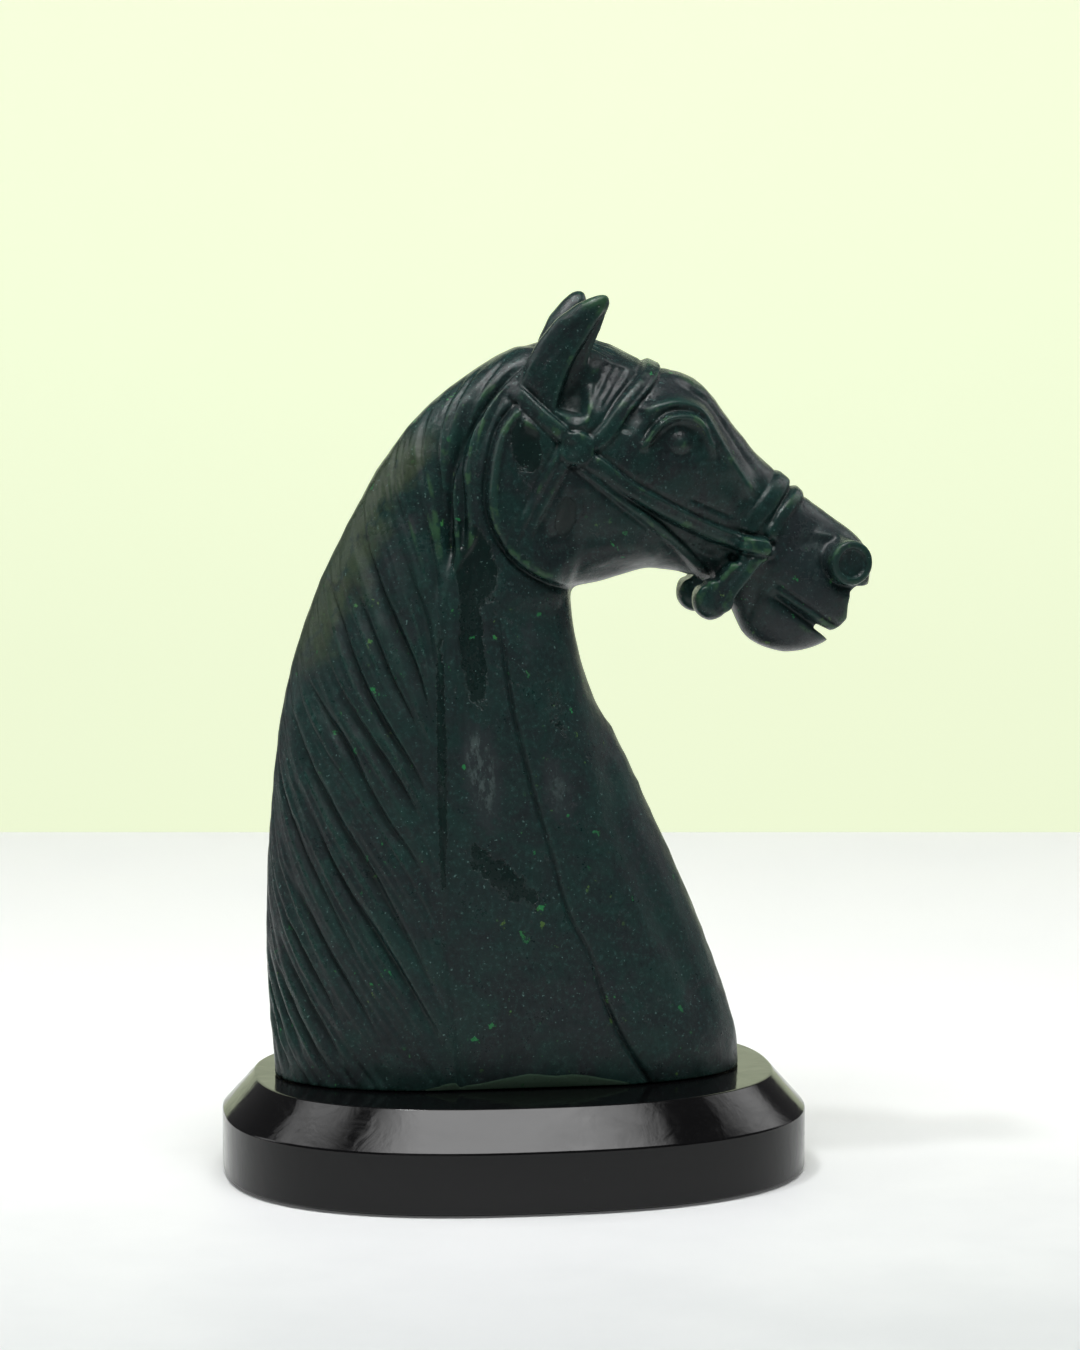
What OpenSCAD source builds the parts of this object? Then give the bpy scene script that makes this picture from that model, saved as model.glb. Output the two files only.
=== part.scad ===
// Horse-head bust of dark green jade on a bevelled black stone plinth.
// The frame: origin at the centre of the underside, +Z up, +X towards the nose, +Y the horse's left.
// All sizes are in millimetres.

/* [Bust] */
// Height of the carved bust, from its foot to the tips of the ears
bust_h = 191.3; // [160:0.1:220]
// Distance from the plinth's centre to the middle of the bust's foot, along X
bust_shift = 0; // [-4:0.5:4]
// Depth of each pin hole in the bust
bust_hole_depth = 18; // [12:1:30]

/* [Plinth] */
// Length of the plinth at its upright wall
plinth_l = 144; // [136:0.5:180]
// Width of the plinth at its upright wall
plinth_w = 107.2; // [96:0.2:130]
// Height of the upright wall
wall_h = 14.8; // [10:0.2:24]
// Height of the bevel above the wall
bevel_h = 9; // [4:0.5:14]
// How far the bevel steps in on each side
bevel_in = 8.1; // [3:0.1:9]
// Squareness of the plinth's outline: 2 is an ellipse, more is boxier
plinth_n = 2.45; // [2:0.05:4]
// Depth of each pin hole in the plinth
plinth_hole_depth = 15; // [8:1:18]

/* [Fixing] */
// Diameter of the two steel pins that join the bust to the plinth
pin_d = 6; // [4:0.5:8]
// Distance between the two pins, along X
pin_spacing = 46; // [30:1:60]
// Thickness of the adhesive around each pin
pin_glue = 0.25; // [0.15:0.05:0.5]
// Thickness of the adhesive bed under the bust
bed_t = 0.3; // [0.2:0.05:1]
// How far the adhesive bed stays inside the edge of the bust's foot
bed_inset = 2.5; // [2:0.5:6]

/* [Felt] */
// Thickness of the felt pad under the plinth
felt_t = 0.6; // [0.4:0.1:2]
// How far the felt pad stays inside the plinth's edge
felt_inset = 2.5; // [1:0.5:8]

/* [Hidden] */

jade = "#23352f";
black_stone = "#1b1b1d";
pin_steel = "#b9bcc0";
glue_amber = "#c9b98c";
felt_black = "#2a2a2c";

plinth_top = felt_t + wall_h + bevel_h;
foot_z = plinth_top + bed_t;
hole_r = pin_d / 2 + pin_glue;
end_gap = 1; // adhesive at each end of a pin
overlap = 1; // how far a cut runs past the face it opens
pin_low = plinth_top - plinth_hole_depth + end_gap;
pin_high = foot_z + bust_hole_depth - end_gap;
carve_h = 191.3; // height at which the tables below are drawn
carve_scale = bust_h / carve_h;

// Fineness of the carving: points round a slice, and slices between two stations
neck_points = 48;
neck_steps = 2;
head_points = 36;
head_steps = 2;
ear_points = 20;
outline_points = 96;
pin_sides = 48;
shank_sides = 32;
ball_sides = 24;

// The neck and mane, sliced level. Each station is
// [height, back x, front x, half thickness, widest place, squareness behind, squareness in front]
neck = [
    [0, -57, 53.6, 25, 0.52, 2.3, 2.3],
    [2.2, -59.2, 56.4, 27.6, 0.52, 2.3, 2.4],
    [12, -60.2, 54.8, 28, 0.52, 2.25, 2.35],
    [24, -61, 50.8, 27.6, 0.51, 2.2, 2.3],
    [36, -61.2, 46.4, 27, 0.51, 2.15, 2.25],
    [48, -61, 41.4, 26.3, 0.51, 2.1, 2.2],
    [60, -60.3, 35.9, 25.4, 0.52, 2.05, 2.2],
    [72, -59.3, 30.5, 24.4, 0.52, 2, 2.15],
    [84, -58, 25, 23.2, 0.53, 2, 2.15],
    [96, -55.9, 19.4, 21.8, 0.54, 1.95, 2.1],
    [106, -53.1, 16.3, 20.4, 0.56, 1.95, 2.1],
    [116, -49.7, 14, 19, 0.58, 1.9, 2.1],
    [126, -45.5, 15, 17.8, 0.58, 1.9, 2.1],
    [136, -40.4, 18, 16.8, 0.58, 1.85, 2.1],
    [146, -35.2, 20, 15.8, 0.56, 1.85, 2.1],
    [155, -29, 20, 14.4, 0.54, 1.85, 2.1],
    [163, -22, 19, 12.6, 0.52, 1.85, 2.1],
    [169.5, -14, 17, 10.4, 0.5, 1.9, 2],
    [174.5, -6.4, 14, 8, 0.5, 1.95, 2],
    [178, 0.5, 11.5, 4.6, 0.5, 2, 2]
];

// The head, sliced square to its own axis. That axis starts over the jaw and slopes down to the nose.
head_slope = 35;
head_start = [0, 0, 145.3];
// Each station is [distance, underside, top, half width, widest place, squareness below, squareness above]
head = [
    [-17, 14, 27, 5, 0.5, 2, 2],
    [-14, 3, 32.4, 10.5, 0.5, 2.1, 2],
    [-9, -7, 37.2, 14.2, 0.5, 2.2, 2],
    [-3, -13.4, 40, 16.2, 0.5, 2.3, 2],
    [4, -17, 41.5, 17.2, 0.52, 2.3, 2.05],
    [11, -18.4, 42.7, 17.8, 0.56, 2.3, 2.15],
    [18, -17.8, 44.8, 18.2, 0.62, 2.2, 2.3],
    [25, -14.4, 44.8, 18, 0.66, 2.15, 2.35],
    [32, -7.8, 42.8, 16.8, 0.66, 2.15, 2.3],
    [38, -0.2, 40.9, 15, 0.62, 2.15, 2.2],
    [44, 3.8, 40, 13.2, 0.58, 2.15, 2.15],
    [50, 6, 39.4, 11.8, 0.54, 2.15, 2.1],
    [56, 7, 38.9, 10.8, 0.5, 2.15, 2.1],
    [62, 5.4, 38.1, 10, 0.48, 2.15, 2.1],
    [67, 2.2, 37.9, 9.6, 0.48, 2.15, 2.1],
    [72, 0.8, 38.1, 9.7, 0.5, 2.15, 2.1],
    [77, 2.2, 37.8, 10.2, 0.55, 2.15, 2.15],
    [81.5, 4.6, 36.6, 10, 0.6, 2.2, 2.2],
    [85.5, 8.6, 33.4, 8.8, 0.6, 2.2, 2.2],
    [88, 13.2, 28.4, 6.6, 0.5, 2.2, 2.2],
    [89, 16, 25, 3.4, 0.5, 2.1, 2.1]
];

// The ears, sliced level. They were carved by eye, so they differ: the left one is slimmer and taller.
// Each station is [height, x, y, half length, half thickness]
right_ear = [
    [154, 7.5, -8.5, 6.5, 4.6],
    [161, 8, -9, 7.2, 5],
    [168, 7.6, -10, 7.6, 5.2],
    [174, 8.6, -11, 7.6, 4.9],
    [180, 11.6, -12.2, 7, 4.2],
    [185, 14.6, -13.2, 6, 3.3],
    [188.4, 17.4, -13.9, 4.2, 2.3],
    [190, 19, -14.3, 2.4, 1.4],
    [190.7, 19.8, -14.5, 1.1, 0.7]
];
left_ear = [
    [154, 8.5, 8.5, 6, 4.6],
    [161, 9.4, 9, 6.2, 5],
    [168, 10.2, 10, 6, 5.2],
    [174, 11.6, 11, 6, 4.9],
    [180, 13.6, 12.2, 5.4, 4.2],
    [185, 15.4, 13.2, 4.6, 3.3],
    [188.8, 17.2, 13.9, 3.2, 2.3],
    [190.6, 18.1, 14.3, 2, 1.4],
    [191.3, 18.5, 14.5, 1.1, 0.7]
];

// Bit shank on one side: [x, height] of its upper eye and of its round lower lobe
shank_eye = [58, 128.5];
shank_lobe = [47.2, 116];
shank_eye_r = 3.6;
shank_lobe_r = 4.8;
shank_w = 5.6; // width of the bar between them
shank_in = 7; // its inner and outer faces, from the middle of the head
shank_out = 14.5;
// Eye and nostril: [distance along the head's axis, side, height off that axis] and radius
eye_place = [26, 13.4, 30];
eye_r = 3.6;
nostril_place = [77.6, 7.4, 30];
nostril_r = 4.6;

// A value that passes smoothly through four neighbouring stations
function smooth(a, b, c, d, t) =
    0.5 * (2 * b + (c - a) * t + (2 * a - 5 * b + 4 * c - d) * t * t + (3 * b - a - 3 * c + d) * t * t * t);

function station(rows, i) = rows[max(0, min(len(rows) - 1, i))];

// The stations with smooth ones added between them
function refined(rows, steps) = [
    for (i = [0 : len(rows) - 2])
        for (j = [0 : steps - 1])
            smooth(station(rows, i - 1), rows[i], rows[i + 1], station(rows, i + 2), j / steps),
    rows[len(rows) - 1]
];

// The cosine or sine of a rounded outline whose squareness is n
function squared(value, n) = sign(value) * pow(abs(value), 2 / n);

function neck_slice(r, inset = 0) =
    let (widest = r[1] + (r[2] - r[1]) * r[4])
    [
        for (i = [0 : neck_points - 1])
            let (a = 360 * i / neck_points, n = cos(a) < 0 ? r[5] : r[6],
                 reach = cos(a) < 0 ? widest - r[1] : r[2] - widest)
            [widest + (reach - inset) * squared(cos(a), n), (r[3] - inset) * squared(sin(a), n), r[0]]
    ];

// A point of the head, from its distance along the head's axis, its side and its height off that axis
function head_point(s, side, up) =
    head_start + [
        s * cos(head_slope) + up * sin(head_slope),
        side,
        up * cos(head_slope) - s * sin(head_slope)
    ];

function head_slice(r) =
    let (widest = r[1] + (r[2] - r[1]) * r[4])
    [
        for (i = [0 : head_points - 1])
            let (a = 360 * i / head_points, n = sin(a) < 0 ? r[5] : r[6],
                 reach = sin(a) < 0 ? widest - r[1] : r[2] - widest)
            head_point(r[0], r[3] * squared(cos(a), n), widest + reach * squared(sin(a), n))
    ];

function ear_slice(r) = [
    for (i = [0 : ear_points - 1])
        let (a = 360 * i / ear_points)
        [r[1] + r[3] * cos(a), r[2] + r[4] * sin(a), r[0]]
];

// The plinth's outline, a rounded oblong
function plinth_outline(inset) = [
    for (i = [0 : outline_points - 1])
        let (a = 360 * i / outline_points)
        [(plinth_l / 2 - inset) * squared(cos(a), plinth_n), (plinth_w / 2 - inset) * squared(sin(a), plinth_n)]
];

// A closed skin over a stack of slices that all have the same number of points
module skin(slices) {
    n = len(slices[0]);
    m = len(slices);
    sides = [
        for (j = [0 : m - 2], i = [0 : n - 1])
            let (next = (i + 1) % n)
            each [
                [j * n + i, (j + 1) * n + i, (j + 1) * n + next],
                [j * n + i, (j + 1) * n + next, j * n + next]
            ]
    ];
    first_cap = [for (i = [0 : n - 1]) i];
    last_cap = [for (i = [n - 1 : -1 : 0]) (m - 1) * n + i];
    polyhedron(points = [for (s = slices) each s], faces = concat([first_cap, last_cap], sides));
}

module both_sides() {
    children();
    mirror([0, 1, 0]) children();
}

module shank_end(place, r) {
    translate([place[0], shank_in, place[1]])
        rotate([-90, 0, 0]) cylinder(h = shank_out - shank_in, r = r, $fn = shank_sides);
}

module shank() {
    shank_end(shank_eye, shank_eye_r);
    shank_end(shank_lobe, shank_lobe_r);
    reach = shank_lobe - shank_eye;
    translate([shank_eye[0], shank_in, shank_eye[1]])
        rotate([0, -atan2(reach[1], reach[0]), 0])
            translate([0, 0, -shank_w / 2]) cube([norm(reach), shank_out - shank_in, shank_w]);
}

module ball(place, r) {
    translate(head_point(place[0], place[1], place[2])) sphere(r = r, $fn = ball_sides);
}

// The carving, with its foot at height 0
module carving() {
    skin([for (r = refined(neck, neck_steps)) neck_slice(r)]);
    skin([for (r = refined(head, head_steps)) head_slice(r)]);
    for (ear = [right_ear, left_ear]) skin([for (r = ear) ear_slice(r)]);
    both_sides() {
        shank();
        ball(eye_place, eye_r);
        ball(nostril_place, nostril_r);
    }
}

module pin_places() {
    for (side = [-1, 1]) translate([bust_shift + side * pin_spacing / 2, 0, 0]) children();
}

module horse_bust() {
    color(jade)
        difference() {
            translate([bust_shift, 0, foot_z]) resize([0, 0, bust_h], auto = true) carving();
            pin_places()
                translate([0, 0, foot_z - overlap])
                    cylinder(h = bust_hole_depth + overlap, r = hole_r, $fn = pin_sides);
        }
}

module plinth() {
    color(black_stone)
        difference() {
            skin([
                for (edge = [[felt_t, 0], [felt_t + wall_h, 0], [plinth_top, bevel_in]])
                    [for (p = plinth_outline(edge[1])) [p[0], p[1], edge[0]]]
            ]);
            pin_places()
                translate([0, 0, plinth_top - plinth_hole_depth])
                    cylinder(h = plinth_hole_depth + overlap, r = hole_r, $fn = pin_sides);
        }
}

module pin(side) {
    color(pin_steel)
        translate([bust_shift + side * pin_spacing / 2, 0, pin_low])
            cylinder(h = pin_high - pin_low, d = pin_d, $fn = pin_sides);
}

module front_pin() {
    pin(1);
}

module rear_pin() {
    pin(-1);
}

// The adhesive: a thin bed under the foot, and what fills the pin holes round and beyond the pins
module adhesive_bed() {
    color(glue_amber)
        difference() {
            union() {
                translate([bust_shift, 0, plinth_top])
                    linear_extrude(height = bed_t)
                        polygon([for (p = neck_slice(neck[0], bed_inset)) [p[0], p[1]] * carve_scale]);
                pin_places()
                    translate([0, 0, plinth_top - plinth_hole_depth])
                        cylinder(h = plinth_hole_depth + bed_t + bust_hole_depth, r = hole_r, $fn = pin_sides);
            }
            pin_places()
                translate([0, 0, pin_low]) cylinder(h = pin_high - pin_low, d = pin_d, $fn = pin_sides);
        }
}

module felt_pad() {
    color(felt_black) linear_extrude(height = felt_t) polygon(plinth_outline(felt_inset));
}

horse_bust();
plinth();
front_pin();
rear_pin();
adhesive_bed();
felt_pad();
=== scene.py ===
"""Horse-head bust of dark green jade on a bevelled black stone plinth: the looks, built round the CAD.

The bust is carved here as a signed distance field, in millimetres. It starts as the CAD bust, is smoothed,
and then gets its relief: cheeks, bridle, eyes, nostrils, mouth, ears and mane. The result is meshed once.
"""
import math

import bpy
import numpy as np
import openvdb as vdb
from mathutils import Matrix, Vector


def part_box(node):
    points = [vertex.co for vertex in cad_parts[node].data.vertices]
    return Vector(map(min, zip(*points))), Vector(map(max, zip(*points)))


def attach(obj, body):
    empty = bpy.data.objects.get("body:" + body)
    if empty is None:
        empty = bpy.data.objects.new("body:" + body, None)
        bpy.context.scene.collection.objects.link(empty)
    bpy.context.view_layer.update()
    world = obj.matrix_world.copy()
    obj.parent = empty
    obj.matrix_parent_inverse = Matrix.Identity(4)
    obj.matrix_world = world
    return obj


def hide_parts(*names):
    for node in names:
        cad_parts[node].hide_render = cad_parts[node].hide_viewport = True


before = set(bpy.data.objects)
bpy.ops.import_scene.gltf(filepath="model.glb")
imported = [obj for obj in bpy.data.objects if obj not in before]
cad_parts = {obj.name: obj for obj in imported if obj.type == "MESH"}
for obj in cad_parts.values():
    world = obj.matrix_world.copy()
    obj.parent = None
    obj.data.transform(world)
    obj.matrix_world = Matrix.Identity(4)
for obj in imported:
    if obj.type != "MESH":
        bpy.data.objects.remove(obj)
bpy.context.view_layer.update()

MM = 0.001
VOXEL = 0.42    # grid pitch of the carving
BAND = 5.0                             # distances are kept to this depth on both sides of the surface
MAX_TRIANGLES = 190000
SEED = 7
PIN_GLUE = 0.25        # adhesive round each pin
PIN_END_GAP = 0.3      # room left at the end of each pin

bust_low, bust_high = (np.array(c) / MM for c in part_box("horse_bust"))
plinth_low, plinth_high = (np.array(c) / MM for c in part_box("plinth"))
FOOT = bust_low[2]     # height of the bust's foot; heights on the carving are counted from here


# --------------------------------------------------------------------------------------------------
# Camera
# --------------------------------------------------------------------------------------------------

def add_object(name, data):
    """A new object in the scene."""
    made = bpy.data.objects.new(name, data)
    bpy.context.scene.collection.objects.link(made)
    return made


VIEW_AZIMUTH = -8.5
VIEW_ELEVATION = 6.47
VIEW_DISTANCE = 937 * MM
VIEW_TARGET = Vector((6.5, -1.0, 122.3)) * MM
LENS = 101.8


def make_camera():
    azimuth, elevation = math.radians(VIEW_AZIMUTH), math.radians(VIEW_ELEVATION)
    back = Vector((math.sin(azimuth) * math.cos(elevation), -math.cos(azimuth) * math.cos(elevation),
                   math.sin(elevation)))
    camera = add_object("camera", bpy.data.cameras.new("camera"))
    camera.data.lens = LENS
    camera.data.sensor_width = 36
    camera.location = VIEW_TARGET + back * VIEW_DISTANCE
    camera.rotation_euler = back.to_track_quat("Z", "Y").to_euler()
    camera.data.clip_end = 20
    bpy.context.scene.camera = camera


make_camera()

# --------------------------------------------------------------------------------------------------
# The grid of the carving
# --------------------------------------------------------------------------------------------------

margin = BAND + 2 * VOXEL
first_cell = np.floor((bust_low - margin) / VOXEL).astype(int)
cells = np.ceil((bust_high + margin) / VOXEL).astype(int) - first_cell + 1
gx, gy, gz = ((first_cell[i] + np.arange(cells[i])) * VOXEL for i in range(3))
gz = gz - FOOT


def smoothstep(low, high, value):
    """0 below low, 1 above high, and a smooth rise between them."""
    t = np.clip((value - low) / (high - low), 0, 1)
    return t * t * (3 - 2 * t)


def curve(points, steps=10):
    """A smooth line through the given points."""
    p = np.array(points, float)
    p = np.vstack([2 * p[0] - p[1], p, 2 * p[-1] - p[-2]])
    t = np.linspace(0, 1, steps, endpoint=False)[:, None]
    parts = []
    for a, b, c, d in zip(p, p[1:], p[2:], p[3:]):
        parts.append(0.5 * (2 * b + (c - a) * t + (2 * a - 5 * b + 4 * c - d) * t ** 2
                            + (3 * b - a - 3 * c + d) * t ** 3))
    return np.vstack(parts + [p[-2]])


def blur(field, sigma):
    """Gaussian blur, with sigma in millimetres."""
    s = sigma / VOXEL
    r = max(1, int(math.ceil(2.5 * s)))
    weights = np.exp(-0.5 * (np.arange(-r, r + 1) / s) ** 2)
    weights /= weights.sum()
    for axis in range(field.ndim):
        pad = [(r, r) if a == axis else (0, 0) for a in range(field.ndim)]
        padded = np.pad(field, pad, mode="edge")
        out = np.zeros_like(field)
        for n, w in enumerate(weights):
            cut = [slice(None)] * field.ndim
            cut[axis] = slice(n, n + field.shape[axis])
            out += np.asarray(w, field.dtype) * padded[tuple(cut)]
        field = out
    return field


class Relief:
    """A map of heights in millimetres over a plane, such as the view from the side."""

    def __init__(self, u, v):
        self.u, self.v = u, v
        self.U, self.V = np.meshgrid(u, v, indexing="ij")
        self.h = np.zeros(self.U.shape)

    def window(self, line, reach):
        low, high = line.min(0) - reach, line.max(0) + reach
        return (slice(*np.searchsorted(self.u, [low[0], high[0]])),
                slice(*np.searchsorted(self.v, [low[1], high[1]])))

    def distance(self, line, w):
        """Distance to a line from each cell of a window, and how far along the line that is, 0 to 1."""
        u, v = self.U[w], self.V[w]
        best = np.full(u.shape, 1e9)
        along = np.zeros(u.shape)
        self.left = np.zeros(u.shape, bool)
        lengths = np.linalg.norm(np.diff(line, axis=0), axis=1)
        start = np.concatenate([[0], np.cumsum(lengths)])
        for n, (a, b) in enumerate(zip(line, line[1:])):
            step = b - a
            t = np.clip(((u - a[0]) * step[0] + (v - a[1]) * step[1]) / max(step @ step, 1e-9), 0, 1)
            d = np.hypot(u - a[0] - t * step[0], v - a[1] - t * step[1])
            closer = d < best
            best[closer] = d[closer]
            along[closer] = ((start[n] + t * lengths[n]) / start[-1])[closer]
            self.left[closer] = (step[0] * (v - a[1]) - step[1] * (u - a[0]) > 0)[closer]
        return best, along

    def inside(self, outline, w):
        """Distance to a closed outline from each cell of a window, positive inside it."""
        ring = np.vstack([outline, outline[:1]])
        best, _ = self.distance(ring, w)
        u, v = self.U[w], self.V[w]
        within = np.zeros(u.shape, bool)
        for a, b in zip(ring, ring[1:]):
            crosses = (a[1] > v) != (b[1] > v)
            at = a[0] + (v - a[1]) * (b[0] - a[0]) / (b[1] - a[1] if b[1] != a[1] else 1e-9)
            within ^= crosses & (u < at)
        return np.where(within, best, -best)

    def ends(self, along, fade):
        """1 along a line, falling to 0 over the last part at each end. fade is (start share, end share)."""
        out = np.ones(along.shape)
        if fade[0]:
            out *= smoothstep(0, fade[0], along)
        if fade[1]:
            out *= smoothstep(0, fade[1], 1 - along)
        return out

    def groove(self, points, width, depth, fade=(0.15, 0.15), steps=8):
        line = curve(points, steps)
        w = self.window(line, 3 * width)
        d, along = self.distance(line, w)
        self.h[w] -= depth * np.exp(-(d / width) ** 2) * self.ends(along, fade)

    def ridge(self, points, width, height, fade=(0.15, 0.15)):
        self.groove(points, width, -height, fade)

    def strap(self, points, width, height, edge=0.4, fade=(0, 0), seams=0.0):
        """A flat raised band with a crease along both edges."""
        line = curve(points)
        w = self.window(line, width + 3)
        d, along = self.distance(line, w)
        keep = self.ends(along, fade)
        band = 1 - smoothstep(width / 2 - edge, width / 2 + edge, d)
        self.h[w] = self.h[w] * (1 - 0.75 * band * keep) + height * band * keep
        self.h[w] -= seams * np.exp(-((d - width / 2 - 0.6) / 0.55) ** 2) * keep

    def dish(self, centre, radii, angle, depth, power=2.0):
        """A soft hollow, or a soft swelling if depth is negative."""
        a = math.radians(angle)
        du, dv = self.U - centre[0], self.V - centre[1]
        p = (du * math.cos(a) + dv * math.sin(a)) / radii[0]
        q = (-du * math.sin(a) + dv * math.cos(a)) / radii[1]
        self.h -= depth * np.exp(-(p * p + q * q) ** (power / 2))

    def ledge(self, points, height, rise, reach, fade=(0.1, 0.1)):
        """A step up to the left of a line, sinking back into the surface over the reach."""
        line = curve(points)
        w = self.window(line, reach + 2)
        d, along = self.distance(line, w)
        d = np.where(self.left, d, -d)
        step_up = smoothstep(-0.3 * rise, 0.7 * rise, d) * (1 - smoothstep(0.3 * reach, reach, d))
        self.h[w] += height * step_up * self.ends(along, fade)

    def disc(self, centre, radius, height, edge=0.35):
        """A flat round boss that covers whatever is under it."""
        d = np.hypot(self.U - centre[0], self.V - centre[1])
        over = 1 - smoothstep(radius - edge, radius + edge, d)
        self.h = self.h * (1 - over) + height * over

    def ring(self, centre, radius, width, depth):
        """A circular groove."""
        d = np.hypot(self.U - centre[0], self.V - centre[1]) - radius
        self.h -= depth * np.exp(-(d / width) ** 2)

    def area(self, points, height, rise, steps=8):
        """Everything inside a closed smooth outline raised by height, over a rise of that width."""
        outline = curve(list(points) + [points[0]], steps)[:-1]
        w = self.window(outline, abs(rise) + 2)
        self.h[w] += height * smoothstep(-0.3 * rise, 0.7 * rise, self.inside(outline, w))

    def at(self, u, v):
        """Heights at points, by linear interpolation."""
        i = np.clip((u - self.u[0]) / (self.u[1] - self.u[0]), 0, len(self.u) - 1.001)
        j = np.clip((v - self.v[0]) / (self.v[1] - self.v[0]), 0, len(self.v) - 1.001)
        a, b = i.astype(int), j.astype(int)
        p, q = i - a, j - b
        h = self.h
        return ((1 - p) * (1 - q) * h[a, b] + p * (1 - q) * h[a + 1, b]
                + (1 - p) * q * h[a, b + 1] + p * q * h[a + 1, b + 1])


def smooth_union(a, b, r):
    h = np.clip(0.5 + 0.5 * (b - a) / r, 0, 1)
    return b + (a - b) * h - r * h * (1 - h)


def smooth_cut(a, b, r):
    """a with b taken away, and the edge rounded."""
    return -smooth_union(-a, b, r)


# --------------------------------------------------------------------------------------------------
# The smooth body of the carving, from the CAD bust
# --------------------------------------------------------------------------------------------------

def cad_distance():
    """Signed distance to the CAD bust, negative inside."""
    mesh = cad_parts["horse_bust"].data
    mesh.calc_loop_triangles()
    points = np.zeros(len(mesh.vertices) * 3, np.float32)
    mesh.vertices.foreach_get("co", points)
    corners = np.zeros(len(mesh.loop_triangles) * 3, np.int32)
    mesh.loop_triangles.foreach_get("vertices", corners)
    grid = vdb.FloatGrid.createLevelSetFromPolygons(
        points.reshape(-1, 3).astype(float) / MM, triangles=corners.reshape(-1, 3).astype(np.uint32),
        transform=vdb.createLinearTransform(VOXEL), halfWidth=BAND / VOXEL)
    out = np.zeros(tuple(cells), np.float32)
    grid.copyToArray(out, ijk=tuple(int(c) for c in first_cell))
    return out


def sharp_foot(d, above=3.0):
    """The foot without its rounded edge: all below the given height repeats the slice at that height."""
    k = int(np.searchsorted(gz, above))
    d[:, :, :k] = d[:, :, k:k + 1]
    return d


CORE_HALF_LENGTH, CORE_HALF_WIDTH, CORE_HEIGHT = 44, 9, 28


def filled_pin_holes(d):
    """The inside of the neck made solid again, so that smoothing doesn't blur the pin holes."""
    i = np.abs(gx[:, None]) < CORE_HALF_LENGTH
    j = np.abs(gy[None, :]) < CORE_HALF_WIDTH
    core = (i & j)[:, :, None] & (gz < CORE_HEIGHT)[None, None, :]
    d[core] = -BAND
    return d


LIGHT, MEDIUM, HEAVY = 0.5, 0.9, 1.4    # each blur is applied on top of the one before
d = cad_distance()
d = filled_pin_holes(sharp_foot(d))
light = blur(d, LIGHT)
medium = blur(light, MEDIUM)
heavy = blur(medium, HEAVY)

# where the ears are the smoothing is light, on the head medium and on the neck heavy
X2, Z2 = np.meshgrid(gx, gz, indexing="ij")
ear_share = smoothstep(172, 178, Z2 + 0.35 * (X2 - 10)) * smoothstep(-4, 2, X2)
lobe_share = 1 - smoothstep(6, 9, np.hypot(X2 - 50, Z2 - 121))
light_share = np.maximum(ear_share, lobe_share)[:, None, :].astype(np.float32)
head_share = smoothstep(-16, -4, X2) * smoothstep(112, 122, Z2)
head_share = head_share[:, None, :].astype(np.float32)
d = heavy + (medium - heavy) * head_share
d = d + (light - d) * light_share
del heavy, medium, light

# --------------------------------------------------------------------------------------------------
# Relief seen from the side: bridle, cheek, eye, muzzle and neck. Points are (x, height over the foot), most
# of them measured on the photograph through a fitted camera and rounded to half a millimetre.
# --------------------------------------------------------------------------------------------------

FINE = 0.3             # pitch of the maps of relief
MAP_MARGIN = 3
side = Relief(np.arange(bust_low[0] - MAP_MARGIN, bust_high[0] + MAP_MARGIN, FINE),
              np.arange(-MAP_MARGIN, bust_high[2] - FOOT + MAP_MARGIN, FINE))
JAW = [(0.5, 166), (-3, 162.5), (-6, 158), (-8, 151), (-9, 142), (-8, 136), (-5.5, 131), (-2, 126.5),
       (3, 123), (8.5, 120.5), (14, 119.5)]
ROSETTE = (13, 154)
EYE = (38.5, 155)


def cheek():
    side.ledge(JAW, 1.3, 2.0, 13, (0.06, 0.04))
    side.groove(JAW, 0.7, 1.3, (0.1, 0.12))
    side.ridge([(x + 2.2, z + 0.6) for x, z in JAW[:7]], 0.9, 0.6, (0.15, 0.4))
    side.groove([(x + 4.2, z + 1.0) for x, z in JAW[1:7]], 1.3, 0.5, (0.2, 0.3))
    side.area([(-2, 156.5), (0.5, 159.5), (4.5, 157), (3.5, 151.5), (0.5, 147.5), (-2.5, 147)], -0.8, 3.0)
    side.area([(10.5, 145), (9, 138.5), (6.5, 132), (10.5, 131.5), (13, 134.5), (12.5, 141)], -0.8, 2.4)
    side.dish((27, 131), (7, 5), -20, -0.5)
    side.area([(6, 121), (14, 121), (24, 125.5), (34, 126), (30, 132), (18, 132), (8, 128)], 0.9, 4.5)
    side.groove([(14, 145), (15.5, 138), (15.5, 131), (13.5, 126.5)], 1.6, 0.35)


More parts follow.
